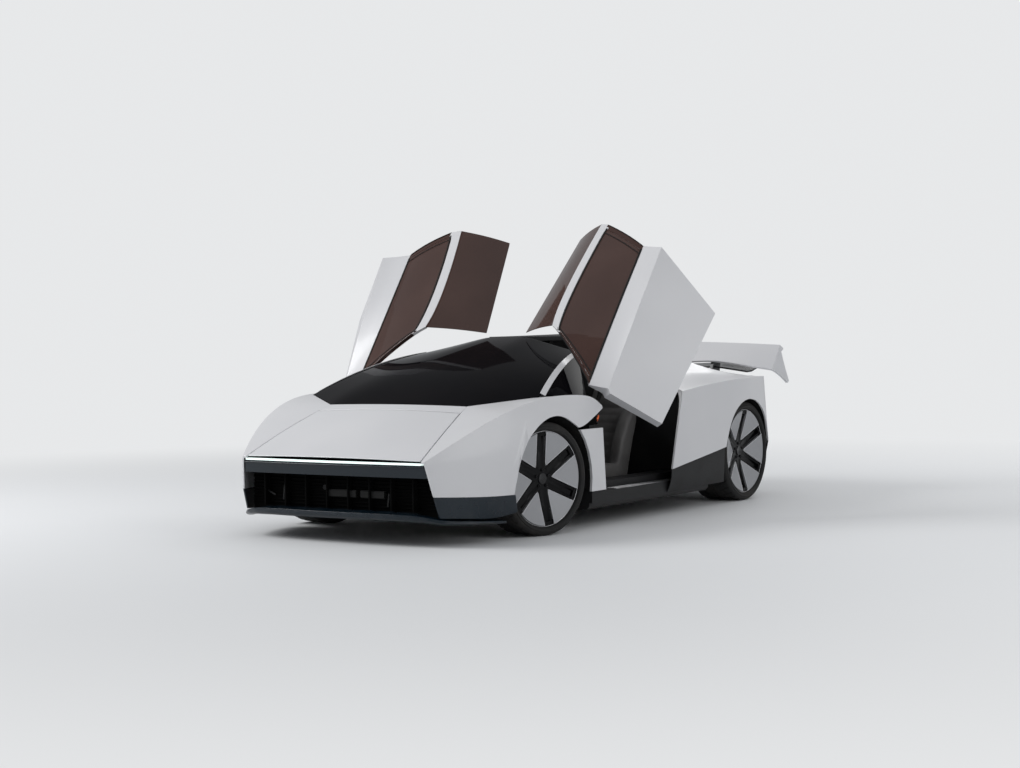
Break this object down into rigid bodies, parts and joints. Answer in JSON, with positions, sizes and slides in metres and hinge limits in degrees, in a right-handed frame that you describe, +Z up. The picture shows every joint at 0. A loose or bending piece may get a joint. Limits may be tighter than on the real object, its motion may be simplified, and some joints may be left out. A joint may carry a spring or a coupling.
{
  "type": "supercar",
  "caption": "Low wedge-shaped two-seat car with upswinging dihedral doors, dark glazing, a raised rear wing, spoked wheels and a front lid.",
  "frame": {"origin": "on the ground under the middle of the car, centred in length and width", "axes": "+X to the car's front, +Y to its left and +Z up"},
  "size_m": [4.524, 2.8934, 1.953],
  "materials": {
    "structure": "satin",
    "steel": "satin",
    "casting": "matte",
    "navy": "gloss",
    "black_trim": "satin",
    "lamp_white": "gloss",
    "paint": "satin",
    "glass_dark": "gloss",
    "glass_bronze": "gloss",
    "lamp_red": "gloss",
    "liner": "matte",
    "tyre": "matte",
    "rim_black": "gloss",
    "rim_grey": "satin",
    "seat_leather": "matte",
    "dash": "matte"
  },
  "bodies": {
    "body": {"tub": "structure", "suspension": "steel", "drive_unit": "casting", "splitter": "navy", "skirts": "navy", "front_fascia": "navy", "grille": "black_trim", "light_bar": "lamp_white", "cowl_panel": "paint", "fender_left": "paint", "fender_right": "paint", "side_blades": "paint", "windscreen": "glass_dark", "roof_frame": "black_trim", "door_hinges": "steel", "engine_cover": "black_trim", "quarter_panel_left": "paint", "quarter_panel_right": "paint", "wing": "paint", "wing_struts": "black_trim", "rear_fascia": "black_trim", "tail_lamp": "lamp_red", "diffuser": "black_trim", "arch_liners": "liner", "seats": "seat_leather", "dashboard": "dash"},
    "hood": {"hood": "paint"},
    "wheel_front_left": {"tyre_front_left": "tyre", "rim_front_left": "rim_black", "wheel_cover_front_left": "rim_grey"},
    "wheel_front_right": {"tyre_front_right": "tyre", "rim_front_right": "rim_black", "wheel_cover_front_right": "rim_grey"},
    "wheel_rear_left": {"tyre_rear_left": "tyre", "rim_rear_left": "rim_black", "wheel_cover_rear_left": "rim_grey"},
    "wheel_rear_right": {"tyre_rear_right": "tyre", "rim_rear_right": "rim_black", "wheel_cover_rear_right": "rim_grey"},
    "knuckle_left": {"knuckle_left": "steel"},
    "door_left": {"door_shell_left": "paint", "door_window_left": "glass_bronze", "door_roof_left": "glass_bronze"},
    "knuckle_right": {"knuckle_right": "steel"},
    "door_right": {"door_shell_right": "paint", "door_window_right": "glass_bronze", "door_roof_right": "glass_bronze"}
  },
  "joints": [
    {"name": "steering_left", "type": "hinge", "parent": "body", "child": "knuckle_left", "pos_m": [1.292, 0.78, 0.346], "axis": [0, 0, 1], "range_deg": [-19, 45]},
    {"name": "steering_right", "type": "hinge", "parent": "body", "child": "knuckle_right", "pos_m": [1.292, -0.78, 0.346], "axis": [0, 0, 1], "range_deg": [-19, 45]},
    {"name": "wheel_front_left_spin", "type": "hinge", "parent": "knuckle_left", "child": "wheel_front_left", "pos_m": [1.30235, 0.82482, 0.346], "axis": [0.225, 0.9744, 0], "continuous": true},
    {"name": "wheel_front_right_spin", "type": "hinge", "parent": "knuckle_right", "child": "wheel_front_right", "pos_m": [1.28165, -0.82482, 0.346], "axis": [0.225, 0.9744, 0], "continuous": true},
    {"name": "wheel_rear_left_spin", "type": "hinge", "parent": "body", "child": "wheel_rear_left", "pos_m": [-1.343, 0.812, 0.356], "axis": [0, 1, 0], "continuous": true},
    {"name": "wheel_rear_right_spin", "type": "hinge", "parent": "body", "child": "wheel_rear_right", "pos_m": [-1.343, -0.812, 0.356], "axis": [0, 1, 0], "continuous": true},
    {"name": "door_left_hinge", "type": "hinge", "parent": "body", "child": "door_left", "pos_m": [0.82117, 0.77865, 0.82813], "axis": [-0.5394, -0.7243, 0.4296], "range_deg": [0, 62]},
    {"name": "door_right_hinge", "type": "hinge", "parent": "body", "child": "door_right", "pos_m": [0.82117, -0.77865, 0.82813], "axis": [0.5394, -0.7243, -0.4296], "range_deg": [0, 62]},
    {"name": "hood_hinge", "type": "hinge", "parent": "body", "child": "hood", "pos_m": [1.5911, 0, 0.7326], "axis": [0, -1, 0], "range_deg": [0, 35]}
  ],
  "couplings": [
    {"joint": "steering_right", "follows": "steering_left", "ratio": 1}
  ]
}
